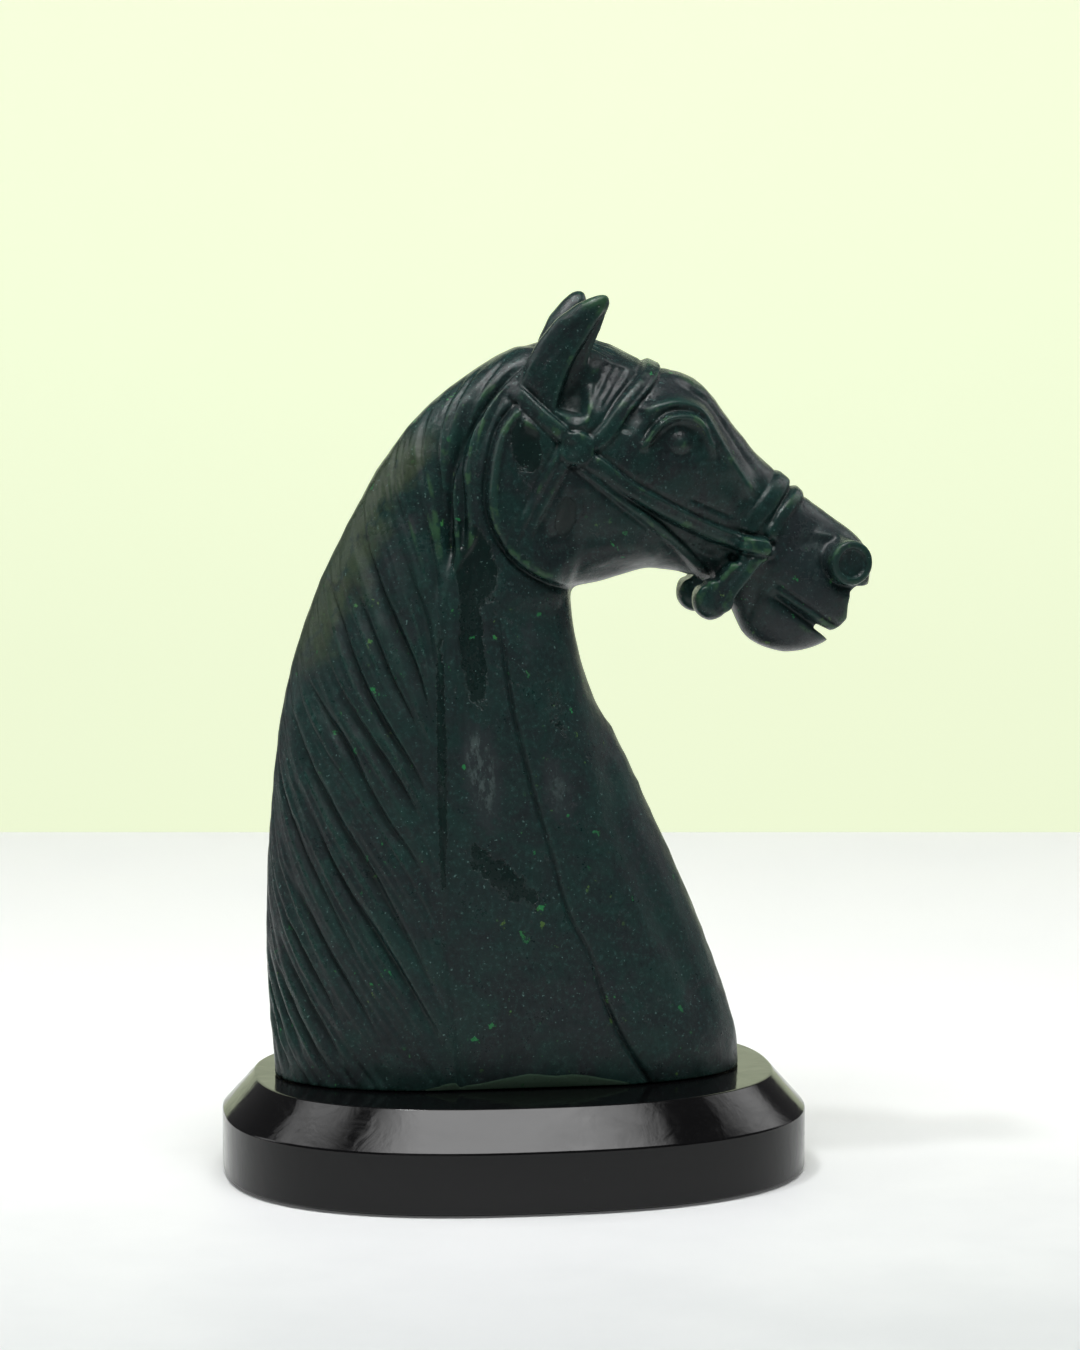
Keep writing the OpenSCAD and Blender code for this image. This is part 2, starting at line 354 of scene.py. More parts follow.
def bridle():
    cheek_one = [(15, 152), (20, 148.5), (26, 144), (36, 138.5), (46.5, 133.5), (54.5, 130.5), (60, 129.5)]
    cheek_two = [(14, 149.5), (23.5, 142), (34, 134), (42, 127), (46.5, 122), (48, 116)]
    cheekpiece = [(61.5, 128), (58.5, 127), (56, 123.5), (52.5, 119.5), (50.5, 115.5)]
    crown = [(-2.5, 169), (4.5, 162), (9.5, 157.5), (12.5, 154.5)]
    brow = [(35.5, 176.5), (33, 172.5), (29.5, 168.5), (25, 164), (20, 157.5), (15.5, 154)]
    throat = [(10.5, 153), (7.5, 148), (3, 139), (-1.5, 130)]
    side.groove([(17, 148), (26.5, 141), (36, 135), (45, 130), (51, 128)], 1.5, 0.9, (0.05, 0.1))
    side.strap(throat, 4.4, 0.8, edge=0.6, seams=0.35)
    side.groove(throat, 0.42, 0.5, (0.1, 0.05))
    side.strap(crown, 3.4, 1.1, edge=0.45, seams=0.5, fade=(0.2, 0))
    side.groove([(x - 0.7, z - 0.9) for x, z in crown], 0.4, 0.3)
    side.strap(brow, 3.7, 0.8, edge=0.6, seams=0.45)
    side.groove([(x + 0.6, z - 0.5) for x, z in brow], 0.4, 0.3)
    side.strap(cheekpiece, 3.2, 0.6, edge=0.8, seams=0.3)
    side.strap(cheek_two, 2.2, 0.7, edge=0.6, seams=0.4, fade=(0, 0.2))
    side.strap(cheek_one, 3.7, 1.0, edge=0.55, seams=0.5)
    side.groove([(x + 0.2, z + 0.5) for x, z in cheek_one[1:]], 0.35, 0.25, (0.1, 0.1))
    side.groove([(40.5, 142), (46, 139.5), (53, 136.5)], 0.45, 0.6)
    side.groove([(63, 131.5), (62, 127.5), (60.5, 126)], 0.7, 0.6)
    side.dish((53, 126.5), (1.5, 1), -35, 1.2, 3)
    side.disc(ROSETTE, 4.0, 1.2, 0.5)
    side.ring(ROSETTE, 4.7, 0.5, 0.35)
    side.ring(ROSETTE, 3.2, 0.35, 0.22)
    side.dish((11.5, 154), (1.5, 2), 10, 0.7, 3)


def noseband():
    back = [(70.5, 150), (66.5, 145.5), (62, 140.5), (59, 137), (57, 134.5)]
    front = [(75, 147), (70.5, 142), (66, 137.5), (62.5, 132.5)]
    side.strap(back, 4.2, 0.6, edge=0.9, seams=0.25)
    side.strap(front, 3.0, 0.6, edge=0.8, seams=0.25)
    side.groove([(73, 148), (68.5, 143.5), (64.5, 139), (61.5, 134)], 0.5, 0.45, (0, 0.1))


def eye():
    upper = [(28.5, 153), (31, 157), (34.5, 160.5), (38.5, 161.5), (42, 161), (44.5, 159), (46, 155.5),
             (47.5, 151)]
    brow_ridge = [(28, 161), (32.5, 164), (37.5, 165), (41, 164.5), (45, 162.5), (47.5, 158),
                  (50.5, 153), (55, 146), (58.5, 141)]
    side.ledge(brow_ridge[::-1], 0.5, 2.2, 9, (0.1, 0.1))
    side.ridge(brow_ridge, 1.4, 1.5, (0.12, 0.1))
    side.area([(30.5, 155), (33.5, 159), (38, 160.5), (42.5, 159), (44.5, 155.5), (44, 152), (39, 151),
               (33.5, 152)], -0.9, 2.6)
    side.ridge(upper, 0.9, 1.4, (0.06, 0.15))
    side.groove([(x - 0.2, z + 1.8) for x, z in upper], 0.7, 0.5, (0.15, 0.15))
    side.dish(EYE, (2.5, 2.5), 0, -1.3, 2.6)
    side.ring(EYE, 2.9, 0.4, 0.15)
    side.ring(EYE, 1.3, 0.25, 0.12)
    side.groove([(35, 170.5), (39.5, 168.5), (44, 165.5), (48, 161.5), (51.5, 156.5), (56, 150),
                 (60, 145.5)], 1.2, 0.7, (0.15, 0.2))
    side.ridge([(38, 172), (44, 169), (49.5, 165), (54, 159.5), (60, 152)], 2.4, 0.9, (0.2, 0.2))
    side.groove([(48.5, 148), (53, 142.5), (56, 139)], 2.0, 0.5, (0.3, 0.2))
    side.groove([(24.5, 157), (26.5, 160), (29.5, 163.5)], 1.3, 0.6, (0.2, 0.2))


def muzzle():
    side.groove([(75, 127), (76, 124), (78, 121), (81.5, 119), (84, 118.5)], 1.2, 1.8, (0.25, 0))
    side.groove([(63, 121), (69.5, 116), (76.5, 111.5), (80, 109.5)], 0.5, 0.7, (0.15, 0))
    side.ridge([(63.5, 119), (69, 115), (76, 110.5)], 0.7, 0.3)
    side.groove([(61, 118.5), (66.5, 114.5), (73, 110), (78, 107)], 1.0, 1.6, (0.3, 0))
    side.groove([(59, 123), (59.5, 118.5), (58.5, 114.5), (57.5, 110.5)], 1.1, 0.6, (0.1, 0.2))
    side.dish((70, 123.5), (7.5, 4.5), -30, -0.7)
    side.groove([(66, 127.5), (70.5, 130), (74.5, 130.5)], 1.5, 0.5, (0.2, 0.3))
    side.ridge([(72, 132.5), (75, 132), (78.5, 131.5), (82, 130.5)], 1.2, 0.9, (0.45, 0.2))
    side.dish((66.5, 107.5), (6.5, 4.5), -25, -0.5)


def ear_folds():
    """Shallow lengthwise flutes on the back of the ear."""
    side.groove([(2.5, 170.5), (7.5, 177), (12.5, 182.5), (16.5, 186)], 1.0, 0.35, (0.1, 0.3))
    side.groove([(15.5, 178), (17.5, 182), (20, 186)], 0.35, 0.5, (0.2, 0.1))
    side.groove([(11, 171.5), (13.5, 176), (15.5, 179)], 0.45, 0.4, (0.2, 0.2))


def forelock():
    for dx in (0, 2.3, 4.5, 6.6):
        line = [(21.9 + dx, 174.5 - dx / 3), (18.6 + dx * 0.85, 169.4 - dx / 3),
                (16.4 + dx * 0.5, 163.4 - dx / 3)]
        side.groove(line, 0.75, 0.65 if dx < 6 else 0.4, (0.1, 0.25))
    for dx in (1, 3.5):
        line = [(21.9 + dx, 174.5 - dx / 3), (18.6 + dx * 0.85, 169.9 - dx / 3), (17 + dx * 0.5, 165.4)]
        side.groove(line, 0.35, 0.3, (0.1, 0.25))


def neck_lines():
    edge = [(-8, 143), (-11, 132), (-15.5, 125), (-18.5, 115.5), (-19.5, 94.5), (-19, 70.5), (-19, 58.5),
            (-20, 34.5), (-18, 17.5), (-16.5, -1)]
    side.ledge(edge, -0.7, 2.0, 14, (0.08, 0.0))
    side.groove(edge, 0.8, 0.7, (0.1, 0))
    side.groove([(-11, 133.5), (-13, 120), (-14.5, 104), (-14.5, 89.5), (-14, 74)], 2.0, 1.1, (0.2, 0.25))
    side.groove([(-7.5, 130), (-10, 122), (-10, 108), (-8.5, 92)], 0.8, 0.4, (0.2, 0.4))
    side.groove([(-6.5, 121), (-5, 106), (-3.5, 94), (-1, 82), (2, 70), (5.5, 58), (9.5, 43),
                 (15, 32), (18.5, 21), (23.5, 10), (31, -1.5)], 0.45, 1.0, (0.15, 0.0))
    side.ledge([(-6.5, 121), (-3.5, 94), (2, 70), (9.5, 43), (18.5, 21), (31, -1.5)], 0.35, 1.6, 9,
               (0.15, 0.05))
    side.groove([(14, 116), (18, 100), (20.5, 88), (24, 61.5), (31, 44), (38.5, 29), (46, 11)], 3.4, 1.1,
                (0.15, 0.1))
    side.groove([(-21, 75), (-20.5, 63.5), (-19.5, 51)], 0.4, 0.5)
    side.dish((-8, 76), (3.5, 8), 8, 0.35, 4)
    side.dish((7, 72), (2.5, 6), 12, 0.3, 4)
    side.dish((3, 112), (8, 5), 0, 0.6)


cheek()
eye()
muzzle()
noseband()
bridle()
ear_folds()
forelock()
neck_lines()

# the open side of the ear, only on the ear's outer half
ear_bowl = Relief(side.u, side.v)
EAR_FOLD = [(20.5, 187.5), (18, 184), (15.5, 180), (13, 176), (10.5, 171), (9, 166.5), (8, 162.5)]
ear_bowl.ledge(EAR_FOLD, -2.1, 1.6, 10.5, (0.06, 0.05))
ear_bowl.ridge([(x - 0.6, z + 0.3) for x, z in EAR_FOLD], 0.6, 0.35, (0.1, 0.2))
ear_bowl.area([(9.5, 166), (10, 162.5), (12.5, 160), (15, 162), (16, 166), (14.5, 170), (11.5, 170)],
              -0.9, 2.6)
ear_bowl.ridge([(9.5, 160.5), (12.5, 158.5), (15.5, 161), (17, 165.5), (17.5, 170)], 0.8, 0.5)

# --------------------------------------------------------------------------------------------------
# The mane, on a map of (distance from the crest of the neck, height over the foot)
# --------------------------------------------------------------------------------------------------

# the back of the neck as in part.scad, and the edge of the mane on the side of the neck: (x, height)
CREST = [(-55, -8), (-59, 2), (-61, 24), (-61, 48), (-59.5, 72), (-56, 96), (-49.5, 116), (-40.5, 136),
         (-29, 155), (-14, 169.5), (0.5, 178), (12, 183)]
MANE_EDGE = [(-15, -8), (-18, 17.5), (-20, 34), (-19, 60), (-19.5, 80), (-19.5, 95), (-18.5, 115),
             (-15.5, 125), (-11, 132), (-8.5, 142), (-8.5, 152), (-5, 160), (-1, 166), (4, 171), (8, 176),
             (8, 186)]
HAIR_REACH = 56        # how far from the crest the hairs are drawn
HAIR_GAP = (1.5, 2.5)
LOCK_GAP = (6.5, 10.5)


def at_height(points, z):
    line = curve(points)
    return np.interp(z, line[:, 1], line[:, 0])


def lock(start, s):
    """Height of the lock that leaves the crest at the start height, at distance s from the crest.

    Its slopes and widths follow guide lines measured on the photograph.
    """
    slope = np.interp(start, [0, 20, 40, 90, 108, 150, 166, 190],
                      [1.3, 1.35, 1.65, 1.5, 1.17, 1.13, 1.2, 1.45])
    first = np.interp(start, [0, 80, 110], [3.0, 3.0, 0])
    z = start - slope * (s + first * (1 - np.exp(-s / 4)) + 0.003 * s * s)
    width = np.interp(z, [0, 60, 95, 125, 150, 175], [50, 48, 42, 35, 22, 14])
    return z - np.minimum(90 * np.maximum(s / width - 0.78, 0) ** 2, 6)


def mane():
    hair = Relief(np.arange(0, 60, FINE), side.v)
    rng = np.random.default_rng(SEED)
    across = np.linspace(0, HAIR_REACH, 22)

    def strand(start, swing, low=0.0, high=1.0):
        knots = rng.normal(0, swing, 6)
        z = lock(start + np.interp(across, np.linspace(0, HAIR_REACH, 6), knots), across)
        line = np.column_stack([across, z])
        line = line[(z > -6) & (z < 182)]
        a, b = int(low * len(line)), int(math.ceil(high * len(line)))
        return line[a:max(b, a + 4)]

    start = 5.0
    while start < 236:                       # fine hairs all over
        low = rng.choice([0, 0, rng.uniform(0, 0.5)])
        high = rng.choice([1, rng.uniform(0.6, 1)])
        line = strand(start, 0.45, low, high)
        if len(line) > 3:
            hair.groove(line, rng.uniform(0.36, 0.55), rng.uniform(0.3, 0.65), (0.12, 0.25), 3)
        start += rng.uniform(*HAIR_GAP)
    start = 9.0
    while start < 225:                       # the hollows between the locks
        low = rng.uniform(0, 0.3)
        line = strand(start, 0.5, low, min(1, low + rng.uniform(0.5, 0.9)))
        if len(line) > 3:
            wide = rng.uniform(1, 1.5)
            hair.groove(line, wide, rng.uniform(1, 1.5), (0.4, 0.45), 3)
            hair.groove(line + (0, 0.8 * wide), 0.4, rng.uniform(0.3, 0.6), (0.3, 0.3), 3)
            hair.groove(line - (0, 1.9 * wide), 0.6, -0.3, (0.4, 0.4), 3)
        start += rng.uniform(*LOCK_GAP)
    return hair


hair = mane()

# how the stone is finished, seen from the side: below 0 dark and polished, above 0 pale and left rough; on
# the head, above 0 also stands for painted sheen
tone = Relief(side.u, side.v)
for centre, radii, angle, amount in (
        ((1, 154), (3.5, 6.5), 14, -1.1), ((10.5, 137.5), (2.5, 5.5), -8, -1.1),
        ((-12, 127), (5, 10), 14, -1.1), ((-12.5, 106), (3, 15), 4, -1.1), ((-6.5, 52), (13, 4), -41, -0.75),
        ((-20.5, 80), (1.3, 34), 0, -0.9), ((22, 100), (5, 12), 25, -0.6), ((8, 90), (3, 16), 12, -0.4),
        ((31, 157), (2, 4), -30, -0.9),
        ((-11, 77), (3.8, 12), 8, 1.3), ((8, 72), (4, 8), 12, 0.8), ((2, 108), (5, 6), 0, 0.3),
        ((3, 144), (3, 5), 0, 0.4), ((30, 55), (7, 14), 30, 0.25), ((15, 20), (12, 9), 0, 0.25),
        ((40, 169), (8, 3), -10, 0.5), ((54, 153), (4, 9), 40, 0.35), ((73, 132), (9, 5), -30, 0.6),
        ((70, 124), (9, 6), -30, 0.45), ((76, 115), (7, 4), -30, 0.45), ((68, 107), (10, 6), -25, 0.55),
        ((5, 177), (3, 7), -35, 0.4), ((22, 170), (4, 6), 0, 0.4)):
    tone.dish(centre, radii, angle, -amount, 3)

# the forelock and the crown between the ears, seen from above: points are (x, y)
top = Relief(np.arange(-12, 44, FINE), np.arange(-16, 16, FINE))
for n in range(-4, 5):
    y0, y1 = n * 1.1 + 0.4, n * 2.3 + 0.5
    top.groove([(-6, y0 * 1.3), (4, y0), (12, y0 * 1.1), (19, (y0 + y1) / 2), (25.5, y1)],
               0.6, 0.7 if n % 2 else 0.4)

# --------------------------------------------------------------------------------------------------
# Applying the relief near the surface
# --------------------------------------------------------------------------------------------------

RELIEF_BAND = 3.4      # the relief is applied to the cells within this distance of the surface
close = np.abs(d) < RELIEF_BAND
ci, cj, ck = np.nonzero(close)
px, py, pz = gx[ci], gy[cj], gz[ck]
crest_x = at_height(CREST, pz)
s = np.hypot(px - crest_x, py)
edge_x = at_height(MANE_EDGE, pz)
hair_share = 1 - smoothstep(-5, 0.5, px - edge_x)
h = side.at(px, pz)
h += hair.at(s, pz) * hair_share * smoothstep(0.0, 2.5, s)
ear_side = smoothstep(0, 1.2, np.abs(py) - 8.5 - 0.16 * (pz - 154))
h += ear_bowl.at(px, pz) * ear_side * smoothstep(157, 160, pz)
up_share = smoothstep(165, 171, pz + 0.25 * px) * (1 - smoothstep(8, 11, np.abs(py)))
up_share *= smoothstep(2, 8, px) * (1 - smoothstep(24, 28, px - 0.3 * (174 - pz)))
h += top.at(px, py) * up_share * (1 - smoothstep(180, 182, pz))


def between_cells(values, q):
    """A grid of values read at fractional cell numbers, by linear interpolation."""
    i = q.astype(int)
    f = q - i
    out = 0
    for a in (0, 1):
        for b in (0, 1):
            for c in (0, 1):
                w = (f[:, 0] if a else 1 - f[:, 0]) * (f[:, 1] if b else 1 - f[:, 1])
                w = w * (f[:, 2] if c else 1 - f[:, 2])
                out = out + w * values[i[:, 0] + a, i[:, 1] + b, i[:, 2] + c]
    return out


# slow unevenness from hand polishing
UNEVEN_PITCH = 8       # in cells of the grid
UNEVEN_DEPTH = 0.12
rng = np.random.default_rng(SEED + 1)
coarse = rng.normal(0, 1, [len(range(0, n, UNEVEN_PITCH)) + 2 for n in cells]).astype(np.float32)
h += UNEVEN_DEPTH * between_cells(coarse, np.stack((ci, cj, ck), 1) / UNEVEN_PITCH)
d[close] -= h.astype(np.float32)

# --------------------------------------------------------------------------------------------------
# Features carved in the round
# --------------------------------------------------------------------------------------------------


def region(low, high):
    """Slices of the grid between two corners, and the coordinates there."""
    cut = tuple(slice(*np.searchsorted(g, [a, b])) for g, a, b in zip((gx, gy, gz), low, high))
    return cut, np.meshgrid(gx[cut[0]], gy[cut[1]], gz[cut[2]], indexing="ij", sparse=True)


NOSTRIL = (80.9, 8.5, 125.2)
NOSTRIL_REACH = 4.3    # from its centre to the bottom of the dish
NOSTRIL_RADIUS, NOSTRIL_EDGE, NOSTRIL_BORE = 4.7, 0.8, 3.5


def nostril(sign):
    """A short tube that faces sideways and a little forward, with a dished mouth."""
    cut, (x, y, z) = region((70, -20, 112), (95, 20, 138))
    axis = np.array([0.22, 0.975 * sign, 0.0])
    rx, ry, rz = x - NOSTRIL[0], y - NOSTRIL[1] * sign, z - NOSTRIL[2]
    along = rx * axis[0] + ry * axis[1]
    out = np.sqrt(np.maximum(rx * rx + ry * ry + rz * rz - along * along, 0))
    past_end = np.maximum(np.abs(along) - NOSTRIL_REACH, 0)
    ring = np.hypot(np.maximum(out - NOSTRIL_RADIUS, 0), past_end) - NOSTRIL_EDGE
    tube = np.maximum(ring, -4 - along)
    d[cut] = smooth_union(d[cut], tube.astype(np.float32), 1.1)
    dish = np.maximum(out - NOSTRIL_BORE, NOSTRIL_REACH - along)
    d[cut] = smooth_cut(d[cut], dish.astype(np.float32), 0.5)


def mouth():
    """The slot between the lips, open to both sides at the front, and the step of the upper lip."""
    cut, (x, _, z) = region((60, -25, 98), (96, 25, 122))
    a, b = np.array((66.0, 114.4)), np.array((84.0, 103.2))
    t = ((x - a[0]) * (b - a)[0] + (z - a[1]) * (b - a)[1]) / ((b - a) @ (b - a))
    gap = np.hypot(x - a[0] - t * (b - a)[0], z - a[1] - t * (b - a)[1]) - 1.5 * t
    gap = np.maximum(gap, (0.45 - t) * 20)
    d[cut] = smooth_cut(d[cut], np.broadcast_to(gap, d[cut].shape).astype(np.float32), 0.4)
    lip = Relief(gx[cut[0]], gz[cut[2]])
    front = np.array([(100, 119), (84.5, 119), (82.5, 117.5), (82, 114), (82, 111), (80.5, 109),
                      (78.5, 108), (79, 104.5), (100, 96)])
    outside = -lip.inside(front, (slice(None), slice(None)))
    d[cut] = smooth_cut(d[cut], outside[:, None, :].astype(np.float32), 0.5)


FACET_DEPTH, FACET_SLOPE, FACET_TURN = 2.0, 0.6, 0.006


def facet_plane(x, y, z):
    """Distance outside the plane that trims the foot in the middle of the near side."""
    return -(facet_y - FACET_DEPTH + y + FACET_SLOPE * z + FACET_TURN * x) / math.hypot(1, FACET_SLOPE)


def foot_facet():
    """A slim bevel at the foot in the middle of the near side."""
    cut, (x, y, z) = region((-44, -30, -2), (56, -20, 6))
    plane = -facet_plane(x, y, z)
    d[cut] = smooth_cut(d[cut], plane.astype(np.float32), 0.12)


# the near side of the foot in its middle, 4 mm up
facet_y = float(-gy[np.argmax(d[np.searchsorted(gx, 2.0), :, np.searchsorted(gz, 4.0)] < 0)])
nostril(-1)
nostril(1)
mouth()
foot_facet()

# flat foot, and the holes for the two pins
d = np.maximum(d, -gz[None, None, :].astype(np.float32))
for pin in ("front_pin", "rear_pin"):
    low, high = (np.array(c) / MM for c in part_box(pin))
    centre, radius = (low + high) / 2, (high - low)[0] / 2 + PIN_GLUE
    pin_top = high[2] - FOOT
    cut, (x, y, z) = region((centre[0] - 6, centre[1] - 6, -6), (centre[0] + 6, centre[1] + 6, pin_top + 3))
    hole = np.maximum(np.hypot(x - centre[0], y - centre[1]) - radius, z - (pin_top + PIN_END_GAP))
    d[cut] = np.maximum(d[cut], -hole.astype(np.float32))
CAVITY_BLUR = 1.1      # the blurred surface lies outside in hollows and inside on edges
cavity = blur(d, CAVITY_BLUR)


def to_mesh(field, name):
    """The surface of a distance field as a Blender mesh object."""
    grid = vdb.FloatGrid(background=BAND)
    grid.copyFromArray(np.ascontiguousarray(field), ijk=tuple(int(c) for c in first_cell))
    grid.transform = vdb.createLinearTransform(VOXEL)
    points, _, quads = grid.convertToPolygons(isovalue=0.0, adaptivity=0.0)
    mesh = bpy.data.meshes.new(name)
    mesh.vertices.add(len(points))
    mesh.vertices.foreach_set("co", (points * MM).astype(np.float32).ravel())
    mesh.loops.add(4 * len(quads))
    mesh.loops.foreach_set("vertex_index", quads.astype(np.int32).ravel())
    mesh.polygons.add(len(quads))
    mesh.polygons.foreach_set("loop_start", np.arange(0, 4 * len(quads), 4, dtype=np.int32))
    mesh.update(calc_edges=True)
    return add_object(name, mesh)


def field_at(field, points):
    """The field at points in millimetres in the part's frame, by linear interpolation."""
    q = points / VOXEL - first_cell
    return between_cells(field, np.clip(q, 0, np.array(field.shape) - 1.001))


bust = to_mesh(d, "bust_carving")
thin = bust.modifiers.new("Decimate", "DECIMATE")
thin.ratio = MAX_TRIANGLES / (2 * len(bust.data.polygons))
bpy.context.view_layer.objects.active = bust
bust.select_set(True)
bpy.ops.object.modifier_apply(modifier=thin.name)
bust.data.shade_smooth()

co = np.zeros(len(bust.data.vertices) * 3, np.float32)
bust.data.vertices.foreach_get("co", co)
hollow = -field_at(cavity, co.reshape(-1, 3) / MM)
bust.data.attributes.new("hollow", "FLOAT", "POINT").data.foreach_set("value", hollow.astype(np.float32))
finish_and_sheen = tone.at(co[0::3] / MM, co[2::3] / MM - FOOT)
bust.data.attributes.new("finish_and_sheen", "FLOAT", "POINT").data.foreach_set("value", finish_and_sheen.astype(np.float32))
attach(bust, "root")
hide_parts("horse_bust")

# --------------------------------------------------------------------------------------------------
# The plinth
# --------------------------------------------------------------------------------------------------

PLINTH_N = 2.45        # exponent of the outline, between an ellipse (2) and a rectangle
WALL = 14.8            # height of the upright wall
BEVEL_IN = 8.1         # how far the bevel steps in
ARRIS = 0.35           # how far the polished edges are eased
OUTLINE_POINTS = 320
BORE_SIDES = 48


def plinth():
    """Upright wall and bevelled top edge, with softened arrises, and two pin holes from above."""
    centre = (plinth_low + plinth_high) / 2
    half = (plinth_high - plinth_low) / 2
    z0, z1 = plinth_low[2], plinth_high[2]
    zb = z0 + WALL
    profile = [(BEVEL_IN * 5, z0), (0.8, z0), (0.22, z0 + 0.18), (0, z0 + 0.7), (0, zb - ARRIS),
               (0.05, zb - 0.1), (ARRIS * 0.7, zb + ARRIS * 0.7),
               (BEVEL_IN - ARRIS * 0.8, z1 - ARRIS * 0.75),
               (BEVEL_IN - ARRIS * 0.1, z1 - 0.12), (BEVEL_IN + ARRIS, z1), (BEVEL_IN * 5, z1)]
    count = OUTLINE_POINTS
    t = np.linspace(0, 2 * np.pi, count, endpoint=False)
    verts, faces = [], []
    for inset, z in profile:
        c, s = np.cos(t), np.sin(t)
        x = (half[0] - inset) * np.sign(c) * np.abs(c) ** (2 / PLINTH_N)
        y = (half[1] - inset) * np.sign(s) * np.abs(s) ** (2 / PLINTH_N)
        verts += [(a * MM, b * MM, z * MM) for a, b in zip(x + centre[0], y + centre[1])]
    for r in range(len(profile) - 1):
        for n in range(count):
            m = (n + 1) % count
            faces.append((r * count + n, r * count + m, (r + 1) * count + m, (r + 1) * count + n))
    faces.append(tuple(range(count))[::-1])
    faces.append(tuple(range((len(profile) - 1) * count, len(profile) * count)))
    mesh = bpy.data.meshes.new("plinth_block")
    mesh.from_pydata(verts, [], faces)
    block = add_object("plinth_block", mesh)
    for pin in ("front_pin", "rear_pin"):
        low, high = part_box(pin)
        radius = (high[0] - low[0]) / 2 + PIN_GLUE * MM
        bottom, upper = low[2] - PIN_END_GAP * MM, plinth_high[2] * MM + 0.002
        bpy.ops.mesh.primitive_cylinder_add(vertices=BORE_SIDES, radius=radius, depth=upper - bottom,
                                            location=((low[0] + high[0]) / 2, (low[1] + high[1]) / 2,
                                                      (upper + bottom) / 2))
        drill = bpy.context.object
        bore = block.modifiers.new("bore", "BOOLEAN")
        bore.operation, bore.solver, bore.object = "DIFFERENCE", "EXACT", drill
        bpy.context.view_layer.objects.active = block
        bpy.ops.object.modifier_apply(modifier=bore.name)
        bpy.data.objects.remove(drill)
    block.data.shade_smooth()
    normals = block.modifiers.new("flat faces keep their normals", "WEIGHTED_NORMAL")
    normals.weight = 100
    return block


block = plinth()
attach(block, "root")
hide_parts("plinth")

# --------------------------------------------------------------------------------------------------
# Materials
# --------------------------------------------------------------------------------------------------


class Nodes:
    """A small helper for building a material's node tree."""

    def __init__(self, name):
        self.material = bpy.data.materials.new(name)
        self.material.use_nodes = True
        self.tree = self.material.node_tree
        self.shader = self.tree.nodes["Principled BSDF"]
        coordinates = self.tree.nodes.new("ShaderNodeTexCoord")
        self.position = coordinates.outputs["Object"]

    def join(self, source, target):
        self.tree.links.new(source, target)

    def put(self, socket, value):
        if isinstance(value, bpy.types.NodeSocket):
            self.join(value, socket)
        else:
            socket.default_value = value

    def set(self, **values):
        for key, value in values.items():
            self.put(self.shader.inputs[key.replace("_", " ")], value)

    def noise(self, size, detail=3, rough=0.5, stretch=(1, 1, 1), warp=0.0):
        """Noise with features of about the given size in millimetres."""
        mapping = self.tree.nodes.new("ShaderNodeMapping")
        self.join(self.position, mapping.inputs["Vector"])
        mapping.inputs["Scale"].default_value = stretch
        node = self.tree.nodes.new("ShaderNodeTexNoise")
        self.join(mapping.outputs[0], node.inputs["Vector"])
        node.inputs["Scale"].default_value = 1 / (size * MM)
        node.inputs["Detail"].default_value = detail
        node.inputs["Roughness"].default_value = rough
        node.inputs["Distortion"].default_value = warp
        return node.outputs["Fac"]

    def ramp(self, value, low, high, out_low=0.0, out_high=1.0):
        node = self.tree.nodes.new("ShaderNodeMapRange")
        node.interpolation_type = "SMOOTHSTEP"
        self.join(value, node.inputs["Value"])
        limits = {"From Min": low, "From Max": high, "To Min": out_low, "To Max": out_high}
        for key, number in limits.items():
            node.inputs[key].default_value = number
        return node.outputs["Result"]

    def maths(self, operation, a, b=0.0):
        node = self.tree.nodes.new("ShaderNodeMath")
        node.operation = operation
        self.put(node.inputs[0], a)
        self.put(node.inputs[1], b)
        return node.outputs[0]

    def times(self, a, b):
        return self.maths("MULTIPLY", a, b)

    def plus(self, a, b):
        return self.maths("ADD", a, b)

    def minus(self, a, b):
        return self.maths("SUBTRACT", a, b)

    def mix(self, share, a, b):
        node = self.tree.nodes.new("ShaderNodeMix")
        node.data_type = "RGBA"
        self.put(node.inputs["Factor"], share)
        self.put(node.inputs[6], (*a, 1) if isinstance(a, tuple) else a)
        self.put(node.inputs[7], (*b, 1) if isinstance(b, tuple) else b)
        return node.outputs[2]

    def bump(self, height, depth, normal=None):
        """Bump with the given depth in millimetres."""
        node = self.tree.nodes.new("ShaderNodeBump")
        node.inputs["Strength"].default_value = 1.0
        node.inputs["Distance"].default_value = depth * MM
        self.join(height, node.inputs["Height"])
        if normal:
            self.join(normal, node.inputs["Normal"])
        return node.outputs["Normal"]

    def attribute(self, name):
        node = self.tree.nodes.new("ShaderNodeAttribute")
        node.attribute_name = name
        return node.outputs["Fac"]

    def axes(self):
        node = self.tree.nodes.new("ShaderNodeSeparateXYZ")
        self.join(self.position, node.inputs[0])
        return node.outputs


def crest_olive(n, fine):
    """Share of olive: patches along the top of the crest."""
    x, _, z = n.axes()
    slope = n.plus(x, n.times(z, -0.52))
    slope = n.plus(slope, n.times(n.noise(11, 3, 0.6), 0.020))
    near_crest = n.ramp(slope, -0.1085, -0.1015, 1, 0)
    high = n.times(n.ramp(z, 0.120, 0.134), n.ramp(z, 0.176, 0.186, 1, 0))
    patch = n.ramp(n.noise(12, 4, 0.7, warp=1), 0.36, 0.50)
    patch = n.times(patch, n.ramp(fine, 0.3, 0.6, 0.55, 1))
    return n.times(n.times(n.times(near_crest, high), patch), 0.75)


